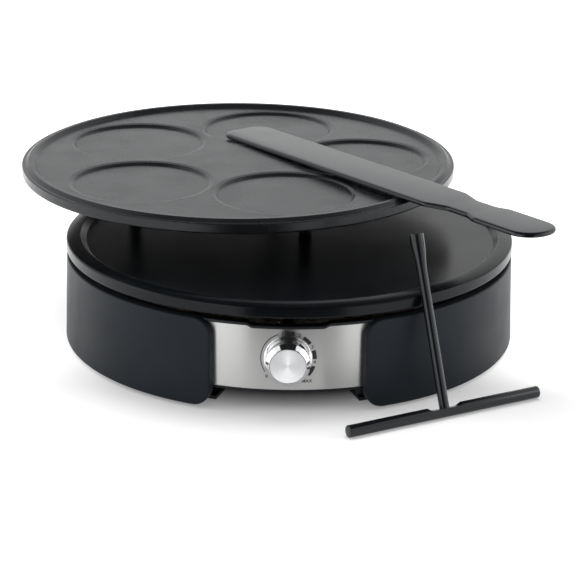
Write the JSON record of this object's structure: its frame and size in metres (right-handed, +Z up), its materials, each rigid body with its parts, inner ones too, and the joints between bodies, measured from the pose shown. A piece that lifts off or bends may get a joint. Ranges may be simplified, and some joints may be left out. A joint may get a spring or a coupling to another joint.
{
  "type": "electric crepe maker",
  "caption": "Round electric crepe maker with a lift-off crepe plate, a second plate with pancake wells, a temperature knob, a T-shaped batter spreader and a long spatula.",
  "frame": {"origin": "on the housing's vertical axis, at the level of the worktop", "axes": "+Z up, -Y towards the front with the knob, +X to the right as seen from the front"},
  "size_m": [0.3861, 0.4352, 0.1231],
  "materials": {
    "housing_plastic": "fine moulded texture",
    "shell_plastic": "soft-touch charcoal",
    "zinc_steel": "zinc-plated",
    "brushed_panel": "brushed along its length",
    "rubber": "matt",
    "tray_steel": "mill finish sheet",
    "element_steel": "oxidised sheath",
    "ceramic": "unglazed steatite",
    "chrome": "polished",
    "spun_aluminium": "spun face",
    "wire_brown": "silicone insulation",
    "wire_blue": "silicone insulation",
    "plate_coating": "non-stick coated cast aluminium",
    "plate_coating_grey": "non-stick coated cast aluminium",
    "cast_aluminium": "as cast",
    "tool_plastic": "satin heat-resistant nylon"
  },
  "bodies": {
    "base": {"inner_housing": "housing_plastic", "left_side_shell": "shell_plastic", "right_side_shell": "shell_plastic", "shell_screws": "zinc_steel", "front_panel": "brushed_panel", "bottom_cover": "housing_plastic", "rubber_feet": "rubber", "bottom_screws": "zinc_steel", "reflector_tray": "tray_steel", "leg_pads": "tray_steel", "heating_element": "element_steel", "element_pins": "zinc_steel", "element_bushes": "ceramic", "element_brackets": "tray_steel", "temperature_sensor": "element_steel", "sensor_posts": "tray_steel", "thermostat": "ceramic", "thermostat_nut": "zinc_steel", "knob_bezel": "chrome", "cord_gland": "rubber", "cord_clamp": "housing_plastic", "terminal_block": "ceramic", "thermal_fuse": "zinc_steel", "live_wire_rear": "wire_brown", "live_wire_front": "wire_brown", "neutral_wire": "wire_blue", "switched_wire": "wire_brown"},
    "control_knob": {"spindle": "zinc_steel", "knob": "chrome", "knob_cap": "spun_aluminium"},
    "crepe_plate": {"crepe_plate": "plate_coating", "crepe_plate_legs": "cast_aluminium"},
    "pancake_plate": {"pancake_plate": "plate_coating_grey", "pancake_plate_legs": "cast_aluminium"},
    "spatula": {"spatula": "tool_plastic"},
    "spreader": {"spreader_bar": "tool_plastic", "spreader_rod": "tool_plastic"}
  },
  "joints": [
    {"name": "knob_turn", "type": "hinge", "parent": "base", "child": "control_knob", "pos_m": [0, -0.165, 0.0387], "axis": [0, 1, 0], "range_deg": [-51, 222]},
    {"name": "crepe_plate_lift", "type": "slide", "parent": "base", "child": "crepe_plate", "axis": [-0.2023, 0.3711, 0.9063], "range_m": [0, 0.07]},
    {"name": "pancake_plate_lift", "type": "slide", "parent": "crepe_plate", "child": "pancake_plate", "axis": [0, 0, 1], "range_m": [0, 0.06]},
    {"name": "spatula_lift", "type": "slide", "parent": "pancake_plate", "child": "spatula", "axis": [0, 0, 1], "range_m": [0, 0.08]},
    {"name": "spreader_lift", "type": "slide", "parent": "base", "child": "spreader", "axis": [0.3385, -0.6208, 0.7071], "range_m": [0, 0.08]}
  ]
}
